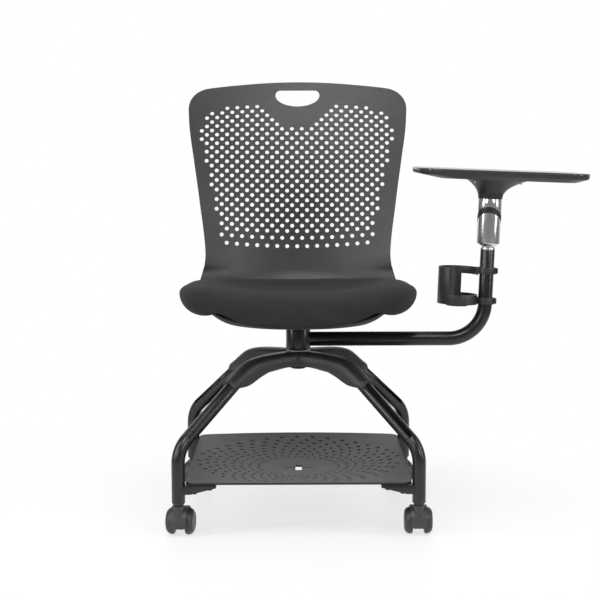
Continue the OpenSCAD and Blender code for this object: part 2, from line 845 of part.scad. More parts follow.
module tablet_top() {
    color([0.2, 0.2, 0.21])
        on_mast()
            translate([tablet_mid, 0, tray_l1])
                linear_extrude(height = top_l1 - tray_l1) round_square(tablet_x, tablet_y, 42);
}

module tablet_screws() {
    color([0.3, 0.3, 0.31])
        on_mast()
            for (p = TABLET_BOLTS)
                translate([p[0], p[1], bracket_l1 - 8]) cylinder(h = 15, r = 2);
}

// ---------------------------------------------------------------- casters

wheel_r = wheel_d / 2;
wheel_in = 10.5;                     // inner face of a wheel, from the caster's middle
wheel_out = 26;
hood_w = 15.5;                       // half the width of the hood
trail = 18;
axle_r = 3;
hood_r = wheel_r + 4;
hood_gap = 1.2;
// Swivel of each caster at rest: the direction that its wheels trail in
CASTER_TRAIL = [[[-1, -1], 82], [[1, -1], 90], [[-1, 1], 76], [[1, 1], 112]];

module at_caster(i) {
    side = CASTER_TRAIL[i][0];
    translate([side[0] * foot_x, side[1] * foot_y, 0]) rotate([0, 0, CASTER_TRAIL[i][1]]) children();
}

// Housing: a web between the wheels that carries stem and axle, and a hood over them
module caster_hood(i) {
    web = 2 * (wheel_in - 0.5);
    color([0.13, 0.13, 0.13])
        at_caster(i)
            difference() {
                union() {
                    translate([trail, web / 2, wheel_r])
                        rotate([90, 0, 0]) linear_extrude(height = web) caster_web_outline();
                    translate([0, 0, wheel_r]) cylinder(h = 32.8, r = 9.5);
                    translate([trail, hood_w, wheel_r])
                        rotate([90, 0, 0]) linear_extrude(height = 2 * hood_w) caster_hood_outline();
                }
                translate([0, 0, wheel_r + 4]) cylinder(h = 40, r = stem_r);
                translate([trail, 30, wheel_r]) rotate([90, 0, 0]) cylinder(h = 60, r = axle_r);
            }
}
module caster_web_outline() {
    intersection() {
        circle(r = hood_r - 0.5);
        union() {
            circle(r = 8);
            translate([-hood_r, -10]) square([2 * hood_r - 8, hood_r + 10]);
        }
    }
}
module caster_hood_outline() {
    difference() {
        circle(r = hood_r);
        circle(r = wheel_r + hood_gap);
        polygon([[0, 0], [60, 26], [60, -60], [-60, -60], [-60, -18]]);
    }
}

module caster_stem(i) {
    color([0.6, 0.6, 0.62])
        at_caster(i) translate([0, 0, wheel_r + 4]) cylinder(h = socket_z1 - wheel_r - 8, r = stem_r);
}

module caster_axle(i) {
    color([0.6, 0.6, 0.62])
        at_caster(i)
            translate([trail, wheel_out - 4, wheel_r])
                rotate([90, 0, 0]) cylinder(h = 2 * wheel_out - 8, r = axle_r);
}

// One wheel: a blind bore from the inner face, a soft tread and a dished outer face
module caster_wheel(i, end) {
    bore = axle_r + run_fit;
    depth = wheel_out - 3.5;
    color([0.08, 0.08, 0.08])
        at_caster(i)
            translate([trail, 0, wheel_r])
                rotate([-90 * end, 0, 0])
                    rotate_extrude()
                        polygon([
                            [0, depth], [bore, depth], [bore, wheel_in], [wheel_r - 3, wheel_in],
                            [wheel_r - 0.8, wheel_in + 1.4], [wheel_r, wheel_in + 3],
                            [wheel_r, wheel_out - 10], [wheel_r - 0.7, wheel_out - 7],
                            [wheel_r - 2.6, wheel_out - 3.6], [wheel_r - 5.4, wheel_out - 1.2],
                            [wheel_r - 8.5, wheel_out], [wheel_r - 11, wheel_out - 0.8],
                            [0, wheel_out - 0.8]
                        ]);
}

// ---------------------------------------------------------------- nodes

hub_core();
hub_bush_lower();
hub_bush_upper();
hub_cover_front();
hub_cover_rear();
leg(LEGS[0]);  // leg_front_left
leg(LEGS[1]);  // leg_front_right
leg(LEGS[2]);  // leg_rear_left
leg(LEGS[3]);  // leg_rear_right
shelf();
shelf_bracket(LEGS[0]);  // shelf_bracket_fl
shelf_bracket(LEGS[1]);  // shelf_bracket_fr
shelf_bracket(LEGS[2]);  // shelf_bracket_rl
shelf_bracket(LEGS[3]);  // shelf_bracket_rr
shelf_screws();
caster_sockets();
spindle();
spindle_cap();
seat_plate();
seat_shell();
seat_cushion();
seat_screws();
arm_collar();
collar_bush();
arm_tube();
mast_post();
mast_ring();
cup_holder();
cup_holder_screws();
tablet_sleeve();
sleeve_bush(sleeve_l0 + 9, 16);  // sleeve_bush_lower
sleeve_bush(sleeve_l1 - 24, 16);  // sleeve_bush_upper
sleeve_band();
tablet_bracket();
tablet_tray();
tablet_top();
tablet_screws();
caster_hood(0);  // caster_fl_hood
caster_stem(0);  // caster_fl_stem
caster_axle(0);  // caster_fl_axle
caster_wheel(0, 1);  // caster_fl_wheel_l
caster_wheel(0, -1);  // caster_fl_wheel_r
caster_hood(1);  // caster_fr_hood
caster_stem(1);  // caster_fr_stem
caster_axle(1);  // caster_fr_axle
caster_wheel(1, 1);  // caster_fr_wheel_l
caster_wheel(1, -1);  // caster_fr_wheel_r
caster_hood(2);  // caster_rl_hood
caster_stem(2);  // caster_rl_stem
caster_axle(2);  // caster_rl_axle
caster_wheel(2, 1);  // caster_rl_wheel_l
caster_wheel(2, -1);  // caster_rl_wheel_r
caster_hood(3);  // caster_rr_hood
caster_stem(3);  // caster_rr_stem
caster_axle(3);  // caster_rr_axle
caster_wheel(3, 1);  // caster_rr_wheel_l
caster_wheel(3, -1);  // caster_rr_wheel_r
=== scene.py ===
import json
import math

import bmesh
import bpy
import numpy as np
from mathutils import Matrix, Vector

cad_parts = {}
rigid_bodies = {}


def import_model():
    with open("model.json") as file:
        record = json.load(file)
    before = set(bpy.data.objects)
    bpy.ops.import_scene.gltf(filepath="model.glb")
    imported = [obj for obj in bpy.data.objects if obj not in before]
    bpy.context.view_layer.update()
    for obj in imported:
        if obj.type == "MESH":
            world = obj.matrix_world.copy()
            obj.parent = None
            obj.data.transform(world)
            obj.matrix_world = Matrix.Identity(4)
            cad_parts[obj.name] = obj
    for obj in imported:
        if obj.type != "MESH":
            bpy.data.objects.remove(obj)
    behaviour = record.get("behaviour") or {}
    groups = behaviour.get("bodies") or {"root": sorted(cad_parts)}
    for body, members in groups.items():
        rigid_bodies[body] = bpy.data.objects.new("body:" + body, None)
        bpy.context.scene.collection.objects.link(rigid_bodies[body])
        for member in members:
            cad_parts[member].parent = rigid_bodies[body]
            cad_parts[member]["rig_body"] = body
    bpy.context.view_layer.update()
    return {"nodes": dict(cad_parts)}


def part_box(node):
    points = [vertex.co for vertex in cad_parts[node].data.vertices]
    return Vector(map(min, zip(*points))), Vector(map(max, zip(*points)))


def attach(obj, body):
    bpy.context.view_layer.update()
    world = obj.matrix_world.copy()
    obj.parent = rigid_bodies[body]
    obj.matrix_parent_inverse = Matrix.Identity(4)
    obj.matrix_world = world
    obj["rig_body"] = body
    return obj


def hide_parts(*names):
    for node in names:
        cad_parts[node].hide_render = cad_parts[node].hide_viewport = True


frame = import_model()
NODES = frame["nodes"]
MM = 0.001

# ---------------------------------------------------------------- studio
# A white floor that fades into a white sky, with a broad lamp overhead, one high in front, two beside
# the camera and a tall soft one on each side. The camera stands in front, at the height of the back.

scene = bpy.context.scene
scene.view_settings.view_transform = "Standard"

camera_data = bpy.data.cameras.new("camera")
camera_data.sensor_width = 36
camera_data.lens = 90.1
camera = bpy.data.objects.new("camera", camera_data)
camera.location = (-0.0016, -2.927, 0.720)
camera.rotation_mode = "XYZ"
camera.rotation_euler = (math.radians(90 - 5.9), math.radians(0.16), math.radians(-0.12))
scene.collection.objects.link(camera)
scene.camera = camera


def soft_lamp(name, place, aim, width, height, power):
    data = bpy.data.lights.new(name, "AREA")
    data.shape = "RECTANGLE"
    data.size, data.size_y = width, height
    data.energy = power
    lamp = bpy.data.objects.new(name, data)
    lamp.location = place
    lamp.rotation_euler = (Vector(aim) - Vector(place)).to_track_quat("-Z", "Y").to_euler()
    scene.collection.objects.link(lamp)
    return lamp


soft_lamp("top", (0, -0.3, 2.6), (0, 0, 0), 1.6, 1.4, 19)
soft_lamp("front", (-0.2, -1.9, 2.4), (0, 0, 0.4), 1.3, 0.7, 22)
soft_lamp("left", (-2.1, -1.0, 1.3), (0, 0, 0.45), 0.4, 2.0, 26)
soft_lamp("near_left", (-2.1, -3.0, 1.5), (0, 0, 0.6), 0.9, 0.9, 21)
soft_lamp("near_right", (2.1, -3.0, 1.5), (0, 0, 0.6), 0.9, 0.9, 23)
soft_lamp("right", (2.3, -0.9, 1.3), (0, 0, 0.45), 0.35, 2.0, 22)

world = bpy.data.worlds.new("studio")
world.use_nodes = True
scene.world = world
sky = world.node_tree
sky.nodes.clear()
seen = sky.nodes.new("ShaderNodeLightPath")
white = sky.nodes.new("ShaderNodeBackground")
white.inputs["Color"].default_value = (1, 1, 1, 1)
fill = sky.nodes.new("ShaderNodeBackground")
fill.inputs["Color"].default_value = (1, 1, 1, 1)
way = sky.nodes.new("ShaderNodeTexCoord")
parts = sky.nodes.new("ShaderNodeSeparateXYZ")
behind = sky.nodes.new("ShaderNodeMapRange")
behind.interpolation_type = "SMOOTHSTEP"
behind.inputs["From Min"].default_value = 0.35
behind.inputs["From Max"].default_value = 0.9
behind.inputs["To Min"].default_value = 0.24
behind.inputs["To Max"].default_value = 1.0
sky.links.new(way.outputs["Generated"], parts.inputs[0])
sky.links.new(parts.outputs["Y"], behind.inputs["Value"])
sky.links.new(behind.outputs[0], fill.inputs["Strength"])
choose = sky.nodes.new("ShaderNodeMixShader")
sky_out = sky.nodes.new("ShaderNodeOutputWorld")
sky.links.new(seen.outputs["Is Camera Ray"], choose.inputs[0])
sky.links.new(fill.outputs[0], choose.inputs[1])
sky.links.new(white.outputs[0], choose.inputs[2])
sky.links.new(choose.outputs[0], sky_out.inputs["Surface"])

floor_mesh = bpy.data.meshes.new("floor")
floor_mesh.from_pydata([(-1.3, -1.2, 0), (1.3, -1.2, 0), (1.3, 1.6, 0), (-1.3, 1.6, 0)], [], [(0, 1, 2, 3)])
floor = bpy.data.objects.new("floor", floor_mesh)
scene.collection.objects.link(floor)
floor_paint = bpy.data.materials.new("floor_paint")
floor_paint.use_nodes = True
paint = floor_paint.node_tree
painted = paint.nodes["Principled BSDF"]
painted.inputs["Base Color"].default_value = (0.93, 0.93, 0.93, 1)
painted.inputs["Roughness"].default_value = 0.35
place = paint.nodes.new("ShaderNodeTexCoord")
reach = paint.nodes.new("ShaderNodeVectorMath")
reach.operation = "LENGTH"
fade = paint.nodes.new("ShaderNodeMapRange")
fade.interpolation_type = "SMOOTHSTEP"
fade.inputs["From Min"].default_value = 0.25
fade.inputs["From Max"].default_value = 0.8
fade.inputs["To Min"].default_value = 0.68
glow = paint.nodes.new("ShaderNodeEmission")
blend = paint.nodes.new("ShaderNodeMixShader")
paint.links.new(place.outputs["Object"], reach.inputs[0])
paint.links.new(reach.outputs["Value"], fade.inputs["Value"])
paint.links.new(fade.outputs[0], blend.inputs[0])
paint.links.new(painted.outputs[0], blend.inputs[1])
paint.links.new(glow.outputs[0], blend.inputs[2])
paint.links.new(blend.outputs[0], paint.nodes["Material Output"].inputs["Surface"])
floor_mesh.materials.append(floor_paint)

# ---------------------------------------------------------------- leg frame
# Four bent steel tubes welded to a sleeve, with folded gussets for the shelf. All of it
# is powder coated in satin black, which leaves a fine orange peel.


class Val:
    """A value that varies over a surface. Arithmetic on it adds Math nodes."""

    def __init__(self, finish, socket):
        self.finish, self.socket = finish, socket

    def math(self, operation, *others):
        return self.finish.node("ShaderNodeMath", {"operation": operation}, self, *others)

    def __add__(self, other):
        return self.math("ADD", other)

    def __sub__(self, other):
        return self.math("SUBTRACT", other)

    def __mul__(self, other):
        return self.math("MULTIPLY", other)

    def sine(self):
        return self.math("SINE")

    def ramp(self, low, high):
        """Smooth step: 0 below low, 1 above high."""
        return self.finish.node("ShaderNodeMapRange", {"interpolation_type": "SMOOTHSTEP", "clamp": True},
                                **{"Value": self, "From Min": low, "From Max": high})


class Finish:
    """One procedural material. node() adds any node and gives back its first output."""

    def __init__(self, name, rough, metal=0.0, **fixed):
        self.material = bpy.data.materials.new(name)
        self.material.use_nodes = True
        self.tree = self.material.node_tree
        self.surface = self.tree.nodes["Principled BSDF"]
        self.surface.inputs["Roughness"].default_value = rough
        self.surface.inputs["Metallic"].default_value = metal
        for socket, value in fixed.items():
            self.surface.inputs[socket.replace("_", " ")].default_value = value

    def node(self, kind, settings=None, *values, pick=0, **named):
        node = self.tree.nodes.new(kind)
        for key, value in (settings or {}).items():
            setattr(node, key, value)
        for socket, value in [*zip(node.inputs, values), *((node.inputs[k], v) for k, v in named.items())]:
            if isinstance(value, Val):
                self.tree.links.new(value.socket, socket)
            else:
                socket.default_value = value
        return Val(self, node.outputs[pick])

    def place(self):
        return self.node("ShaderNodeTexCoord", pick="Object")

    def axes(self):
        split = self.node("ShaderNodeSeparateXYZ", None, self.place()).socket.node
        return [Val(self, out) for out in split.outputs]

    def noise(self, scale, detail=2.0, rough=0.5):
        return self.node("ShaderNodeTexNoise", None,
                         **{"Vector": self.place(), "Scale": scale, "Detail": detail, "Roughness": rough})

    def mix(self, share, first, second):
        """Colour between first and second."""
        mixed = self.tree.nodes.new("ShaderNodeMix")
        mixed.data_type = "RGBA"
        for socket, value in ((mixed.inputs[0], share), (mixed.inputs[6], first), (mixed.inputs[7], second)):
            if isinstance(value, Val):
                self.tree.links.new(value.socket, socket)
            else:
                socket.default_value = value if isinstance(value, float) else (*value, 1)
        return Val(self, mixed.outputs[2])

    def feed(self, socket, value):
        self.tree.links.new(value.socket, self.surface.inputs[socket])

    def bump(self, height, depth, strength=1.0):
        bumped = self.node("ShaderNodeBump", None, Strength=strength, Distance=depth, Height=height)
        self.feed("Normal", bumped)


def grey(value):
    return (value, value, value)


def powder_coat(name, tone, rough=0.27):
    """Satin powder coat: faint cloudiness, an uneven sheen and a slight orange peel."""
    coat = Finish(name, rough=rough)
    cloud = coat.noise(9.0, 3.0)
    coat.feed("Base Color", coat.mix(cloud, grey(tone * 0.82), grey(tone * 1.2)))
    coat.feed("Roughness", coat.noise(38.0, 4.0) * 0.1 + (rough - 0.05))
    coat.bump(coat.noise(300.0, 1.0), 0.00001, 0.3)
    return coat.material


black_coat = powder_coat("black_coat", 0.008)


def dress(material, *names):
    """Puts one material on CAD nodes that keep their own shape."""
    for name in names:
        mesh = NODES[name].data
        mesh.materials.clear()
        mesh.materials.append(material)


def bake_modifiers(piece):
    deps = bpy.context.evaluated_depsgraph_get()
    result = bpy.data.meshes.new_from_object(piece.evaluated_get(deps))
    piece.modifiers.clear()
    old, piece.data = piece.data, result
    bpy.data.meshes.remove(old)


def shade(piece, angle):
    piece.data.shade_smooth()
    piece.data.set_sharp_from_angle(angle=math.radians(angle))


def copy_node(node, name, material):
    """A merged copy of a CAD node's mesh as a new piece."""
    piece = bpy.data.objects.new(name, NODES[node].data.copy())
    scene.collection.objects.link(piece)
    bm = bmesh.new()
    bm.from_mesh(piece.data)
    bmesh.ops.remove_doubles(bm, verts=bm.verts, dist=1e-5)
    bmesh.ops.dissolve_limit(bm, angle_limit=math.radians(0.6), verts=bm.verts, edges=bm.edges)
    bm.to_mesh(piece.data)
    bm.free()
    piece.data.materials.clear()
    piece.data.materials.append(material)
    return piece


def ease_edges(node, material, width, steps=2, above=32, smooth_angle=38):
    """The CAD node's own shape with its sharp edges rounded, width millimetres wide."""
    piece = copy_node(node, node + "_finished", material)
    bevel = piece.modifiers.new("edges", "BEVEL")
    bevel.width = width * MM
    bevel.segments = steps
    bevel.limit_method = "ANGLE"
    bevel.angle_limit = math.radians(above)
    bevel.harden_normals = False
    bake_modifiers(piece)
    shade(piece, smooth_angle)
    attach(piece, NODES[node]["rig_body"])
    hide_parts(node)
    return piece


dress(black_coat, "hub_core")
for tube in ("leg_front_left", "leg_front_right", "leg_rear_left", "leg_rear_right", "arm_tube"):
    ease_edges(tube, black_coat, 0.4, smooth_angle=45)
for corner in ("fl", "fr", "rl", "rr"):
    ease_edges("shelf_bracket_" + corner, black_coat, 0.8)
ease_edges("seat_plate", black_coat, 0.5)
ease_edges("spindle_cap", black_coat, 1.0)
ease_edges("arm_collar", black_coat, 1.2, steps=3)


def bead(name, centre, axis, radius, size, turns, material, body):
    """A weld bead round a joint: overlapping ripples laid in a ring."""
    axis = Vector(axis).normalized()
    side = axis.orthogonal().normalized()
    up = axis.cross(side)
    rings, around = 96, 8
    points = []
    for i in range(rings):
        a = 2 * math.pi * i / rings
        out = side * math.cos(a) + up * math.sin(a)
        wide = size * (1 + 0.1 * math.sin(turns * a))
        for j in range(around):
            b = 2 * math.pi * j / around
            shift = 0.12 * size * math.cos(turns * a)
            ripple = axis * (wide * math.sin(b) + shift)
            points.append(Vector(centre) + out * (radius + wide * math.cos(b)) + ripple)
    index = [[i * around + j for j in range(around)] for i in range(rings)]
    faces = [(index[i][j], index[(i + 1) % rings][j], index[(i + 1) % rings][(j + 1) % around],
              index[i][(j + 1) % around]) for i in range(rings) for j in range(around)]
    mesh = bpy.data.meshes.new(name)
    mesh.from_pydata([tuple(p) for p in points], [], faces)
    mesh.materials.append(material)
    piece = bpy.data.objects.new(name, mesh)
    scene.collection.objects.link(piece)
    outward(piece)
    piece.data.shade_smooth()
    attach(piece, body)
    return piece


def outward(piece):
    bm = bmesh.new()
    bm.from_mesh(piece.data)
    bmesh.ops.recalc_face_normals(bm, faces=bm.faces)
    bm.to_mesh(piece.data)
    bm.free()


collar_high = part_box("arm_collar")[1]
tube_low, tube_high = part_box("arm_tube")
tube_r = (tube_high.y - tube_low.y) / 2
bead("arm_weld", (collar_high.x - 0.0042, 0, tube_low.z + tube_r), (1, 0, 0), tube_r + 0.0002, 0.0021, 44,
     black_coat, "arm")

# ---------------------------------------------------------------- moulded plastic parts
# Hub covers, sockets, cup holder and caster housings are glass-filled nylon with a
# spark-eroded grain, a little greyer than the steel.


def grained_plastic(name, tone, rough, grain=1500.0, depth=0.00012):
    """Moulded plastic: even colour, fine pits, slightly uneven sheen."""
    made = Finish(name, rough=rough)
    cloud = made.noise(5.0, 3.0)
    made.feed("Base Color", made.mix(cloud, grey(tone * 0.9), grey(tone * 1.1)))
    made.feed("Roughness", made.noise(24.0, 4.0) * 0.12 + (rough - 0.06))
    pits = made.node("ShaderNodeTexVoronoi", {"feature": "SMOOTH_F1"},
                     **{"Vector": made.place(), "Scale": grain})
    made.bump(pits + made.noise(grain * 0.6, 2.0) * 0.6, depth)
    return made.material


cover_plastic = grained_plastic("cover_plastic", 0.022, 0.4)
ease_edges("hub_cover_front", cover_plastic, 0.7, above=50, smooth_angle=55)
ease_edges("hub_cover_rear", cover_plastic, 0.7, above=50, smooth_angle=55)
ease_edges("caster_sockets", cover_plastic, 1.4, steps=3)
ease_edges("cup_holder", cover_plastic, 1.1, steps=3)

# ---------------------------------------------------------------- shell
# One polypropylene moulding makes the pan and the back. It is about 5 mm thick, curved
# both ways, with a hand hole and a field of round perforations in the back.

SHELL_START, SHELL_HEADING = (-219.0, 388.0), 22.0
SHELL_RUNS = ((42.0, -22.0), (262.0, 0.0), (117.0, 76.0), (120.0, 6.0), (278.0, -12.0))
SHELL_LEN = sum(run[0] for run in SHELL_RUNS)
SHELL_T = 5.0
LIP_CORNER, BACK_CORNER, BACK_X, BACK_CROWN = 52.0, 56.0, 225.0, 20.0
SHELL_WIDTH = ((0, 150), (62, 166), (150, 192), (260, 203), (340, 202), (400, 194), (450, 188.5),
               (560, 201), (700, BACK_X - 4), (760, BACK_X), (820, BACK_X))
SHELL_DEPTH = ((0, 17), (150, 22), (300, 24), (380, 40), (450, 48), (600, 42), (820, 32))
SHELL_POWER = ((0, 2.6), (300, 2.6), (420, 2), (820, 2))


def through(keys, x):
    """Smooth curve through (x, value) keys."""
    kx, kv = np.array(keys, float).T
    last = len(kx) - 1
    before = np.maximum(np.arange(last + 1) - 1, 0)
    after = np.minimum(np.arange(last + 1) + 1, last)
    slope = (kv[after] - kv[before]) / (kx[after] - kx[before])
    i = np.clip(np.searchsorted(kx, x) - 1, 0, last - 1)
    span = kx[i + 1] - kx[i]
    u = np.clip((x - kx[i]) / span, 0, 1)
    return ((2 * u**3 - 3 * u**2 + 1) * kv[i] + (u**3 - 2 * u**2 + u) * slope[i] * span
            + (3 * u**2 - 2 * u**3) * kv[i + 1] + (u**3 - u**2) * slope[i + 1] * span)


def shell_line(s):
    """Depth, height and heading of the shell's middle line at distance s."""
    y = np.full(np.shape(s), SHELL_START[0])
    z = np.full(np.shape(s), SHELL_START[1])
    heading = np.full(np.shape(s), math.radians(SHELL_HEADING))
    start = 0.0
    for length, turn in SHELL_RUNS:
        part = np.clip(s - start, 0, length)
        bend = math.radians(turn) / length
        end = heading + bend * part
        if abs(turn) < 0.01:
            y = y + part * np.cos(heading)
            z = z + part * np.sin(heading)
        else:
            y = y + (np.sin(end) - np.sin(heading)) / bend
            z = z - (np.cos(end) - np.cos(heading)) / bend
        heading = end
        start += length
    return y, z, heading


def shell_bend(x, s):
    return through(SHELL_DEPTH, s) * (np.abs(x) / through(SHELL_WIDTH, s)) ** through(SHELL_POWER, s)


def shell_point(x, half_width, s, lift):
    """Points of the shell, in metres, lift millimetres above its middle surface."""
    q = x / half_width
    rise = np.maximum(0, (s - SHELL_LEN + 160) / 160)
    y, z, heading = shell_line(s - BACK_CROWN * q * q * rise)
    d = shell_bend(x, s) + lift
    return np.stack([x + 0 * y, y - d * np.sin(heading), z + d * np.cos(heading)], -1) * MM


def shell_rows(along, corner_steps):
    """Distances and half-widths of rows: round lip corners, long sides, round top corners."""
    a = np.radians(np.linspace(0, 90, corner_steps, endpoint=False))
    lip = (LIP_CORNER * (1 - np.cos(a)),
           through(SHELL_WIDTH, np.array([LIP_CORNER])) - LIP_CORNER * (1 - np.sin(a)))
    s = np.linspace(LIP_CORNER, SHELL_LEN - BACK_CORNER, along)
    a = np.radians(np.linspace(0, 90, corner_steps + 1)[1:])
    top = SHELL_LEN - BACK_CORNER * (1 - np.sin(a)), BACK_X - BACK_CORNER * (1 - np.cos(a))
    return (np.concatenate([lip[0], s, top[0]]),
            np.concatenate([lip[1], through(SHELL_WIDTH, s), top[1]]))


def mesh_object(name, points, faces, material, smooth_angle=40.0):
    """A finished piece from points in metres and faces, shaded smooth up to an angle."""
    mesh = bpy.data.meshes.new(name)
    mesh.from_pydata([tuple(map(float, p)) for p in points], [], [tuple(map(int, f)) for f in faces])
    mesh.materials.append(material)
    piece = bpy.data.objects.new(name, mesh)
    scene.collection.objects.link(piece)
    shade(piece, smooth_angle)
    return piece


def two_skins(upper, lower):
    """Points and faces of the closed solid between two grids of points."""
    n, m = upper.shape[:2]
    index = np.arange(n * m).reshape(n, m)
    a, b, c, d = (index[:-1, :-1], index[1:, :-1], index[1:, 1:], index[:-1, 1:])
    top = np.stack([a, b, c, d], -1).reshape(-1, 4)
    rim = np.concatenate([index[0], index[1:, -1], index[-1, -2::-1], index[-2:0:-1, 0]])
    ahead = np.roll(rim, -1)
    edge = np.stack([rim, ahead, ahead + n * m, rim + n * m], -1)
    points = np.concatenate([upper.reshape(-1, 3), lower.reshape(-1, 3)])
    return points, np.concatenate([top, top[:, ::-1] + n * m, edge[:, ::-1]])


def new_tree(name, *inputs):
    """An empty geometry tree with a geometry input and output, and named sockets."""
    tree = bpy.data.node_groups.new(name, "GeometryNodeTree")
    tree.interface.new_socket("Geometry", in_out="INPUT", socket_type="NodeSocketGeometry")
    tree.interface.new_socket("Geometry", in_out="OUTPUT", socket_type="NodeSocketGeometry")
    for label, kind in inputs:
        tree.interface.new_socket(label, in_out="INPUT", socket_type="NodeSocket" + kind)
    return tree


def add_node(tree, kind, settings=None, **links):
    """Adds a node; each link is a value or another node's output. Underscores are spaces."""
    node = tree.nodes.new(kind)
    for key, value in (settings or {}).items():
        setattr(node, key, value)
    for label, value in links.items():
        key = int(label[1:]) if label[1:].isdigit() else label.replace("_", " ")
        if isinstance(value, bpy.types.NodeSocket):
            tree.links.new(value, node.inputs[key])
        else:
            node.inputs[key].default_value = value
    return node


def run_tree(piece, tree, values):
    """Runs a geometry tree on a piece and keeps the result as its plain mesh."""
    modifier = piece.modifiers.new(tree.name, "NODES")
    modifier.node_group = tree
    sockets = {s.name: s.identifier for s in tree.interface.items_tree if s.in_out == "INPUT"}
    for label, value in values.items():
        modifier[sockets[label]] = value
    bake_modifiers(piece)
    piece.data.name = piece.name


def add_math(tree, operation, first, second=0.0):
    """Adds a Math node and gives back its result."""
    return add_node(tree, "ShaderNodeMath", {"operation": operation}, i0=first, i1=second).outputs[0]


def drilling_tree():
    """Cuts a countersunk round or oval hole at every point of another object."""
    tree = new_tree("drilling", ("Marks", "Object"), ("Hole radius", "Float"), ("Sheet", "Float"),
                    ("Flare", "Float"), ("Finish", "Material"))
    into = add_node(tree, "NodeGroupInput")
    marks = add_node(tree, "GeometryNodeObjectInfo", None, Object=into.outputs["Marks"])
    tool = add_node(tree, "GeometryNodeMeshCylinder", None, Vertices=18, Side_Segments=8,
                    Radius=into.outputs["Hole radius"])
    tree.links.new(add_math(tree, "MULTIPLY", into.outputs["Sheet"], 4.0), tool.inputs["Depth"])
    here = add_node(tree, "GeometryNodeInputPosition")
    split = add_node(tree, "ShaderNodeSeparateXYZ", None, i0=here.outputs[0])
    away = add_math(tree, "ABSOLUTE", split.outputs[2])
    inner = add_math(tree, "MULTIPLY", into.outputs["Sheet"], 0.25)
    past = add_math(tree, "MAXIMUM", add_math(tree, "SUBTRACT", away, inner), 0.0)
    grow = add_math(tree, "ADD", add_math(tree, "MULTIPLY", past, into.outputs["Flare"]), 1.0)
    factor = add_node(tree, "ShaderNodeCombineXYZ", None, X=grow, Y=grow, Z=1.0)
    flared = add_node(tree, "ShaderNodeVectorMath", {"operation": "MULTIPLY"}, i0=here.outputs[0],
                      i1=factor.outputs[0])
    shaped = add_node(tree, "GeometryNodeSetPosition", None, Geometry=tool.outputs["Mesh"],
                      Position=flared.outputs[0])
    facing, turned, shape = (
        add_node(tree, "GeometryNodeInputNamedAttribute", {"data_type": "FLOAT_VECTOR"}, Name=label)
        for label in ("facing", "along", "shape"))
    aim = add_node(tree, "FunctionNodeAlignRotationToVector", {"axis": "Z"}, Vector=facing.outputs[0])
    spin = add_node(tree, "FunctionNodeAlignRotationToVector", {"axis": "X", "pivot_axis": "Z"},
                    Rotation=aim.outputs[0], Vector=turned.outputs[0])
    stamped = add_node(tree, "GeometryNodeInstanceOnPoints", None, Points=marks.outputs["Geometry"],
                       Instance=shaped.outputs[0], Rotation=spin.outputs[0], Scale=shape.outputs[0])
    solid = add_node(tree, "GeometryNodeRealizeInstances", None, Geometry=stamped.outputs[0])
    cut = add_node(tree, "GeometryNodeMeshBoolean", {"operation": "DIFFERENCE", "solver": "MANIFOLD"})
    tree.links.new(into.outputs["Geometry"], cut.inputs["Mesh 1"])
    tree.links.new(solid.outputs[0], cut.inputs["Mesh 2"])
    plain = add_node(tree, "GeometryNodeRealizeInstances", None, Geometry=cut.outputs["Mesh"])
    painted = add_node(tree, "GeometryNodeSetMaterial", None, Geometry=plain.outputs[0],
                       Material=into.outputs["Finish"])
    out = add_node(tree, "NodeGroupOutput")
    tree.links.new(painted.outputs[0], out.inputs[0])
    return tree


DRILLING = drilling_tree()


def drill(piece, places, facings, alongs, shapes, radius, sheet, flare, material):
    """Cuts one hole per place, facing along its normal, stretched by its shape."""
    mesh = bpy.data.meshes.new("marks")
    mesh.from_pydata([tuple(map(float, p)) for p in places], [], [])
    for label, data in (("facing", facings), ("along", alongs), ("shape", shapes)):
        layer = mesh.attributes.new(label, "FLOAT_VECTOR", "POINT")
        layer.data.foreach_set("vector", np.asarray(data, np.float32).ravel())
    marks = bpy.data.objects.new("marks", mesh)
    scene.collection.objects.link(marks)
    run_tree(piece, DRILLING, {"Marks": marks, "Hole radius": radius, "Sheet": sheet, "Flare": flare,
                               "Finish": material})
    bpy.data.objects.remove(marks)


shell_plastic = grained_plastic("shell_plastic", 0.022, 0.38, grain=1250.0, depth=0.0001)
row_s, row_w = shell_rows(along=132, corner_steps=8)
across = np.linspace(1, -1, 89)
grid_x = row_w[:, None] * across[None, :]
grids = [shell_point(grid_x, row_w[:, None], row_s[:, None], side * SHELL_T / 2) for side in (1, -1)]
points, faces = two_skins(*grids)
shell = mesh_object("shell_back_and_pan", points, faces, shell_plastic)
outward(shell)

# The hand hole is flat along the top, with round corners, and bowl-shaped below.
HANDLE_W, HANDLE_H, HANDLE_TOP, HANDLE_CORNER = 92.0, 33.0, 833.0, 10.0
corner = [(HANDLE_W / 2 - HANDLE_CORNER * (1 - math.cos(a)), -HANDLE_CORNER * (1 - math.sin(a)))
          for a in np.radians(np.linspace(0, 90, 9))]
bowl = [(HANDLE_W / 2 * math.cos(a), -HANDLE_CORNER - (HANDLE_H - HANDLE_CORNER) * math.sin(a))
        for a in np.radians(np.linspace(0, 180, 41)[1:-1])]
outline = corner + [(-x, z) for x, z in corner[::-1]] + bowl[::-1]
count = len(outline)
hole_points = [(x * MM, y, (HANDLE_TOP + z) * MM) for y in (0.15, 0.34) for x, z in outline]
hole_faces = [tuple(range(count)), tuple(range(2 * count - 1, count - 1, -1))]
hole_faces += [(i, (i + 1) % count, count + (i + 1) % count, count + i) for i in range(count)]
hand_hole = mesh_object("hand_hole", hole_points, hole_faces, shell_plastic)
outward(hand_hole)
cut = shell.modifiers.new("hand_hole", "BOOLEAN")
cut.object = hand_hole
cut.solver = "EXACT"
bake_modifiers(shell)
bpy.data.objects.remove(hand_hole)

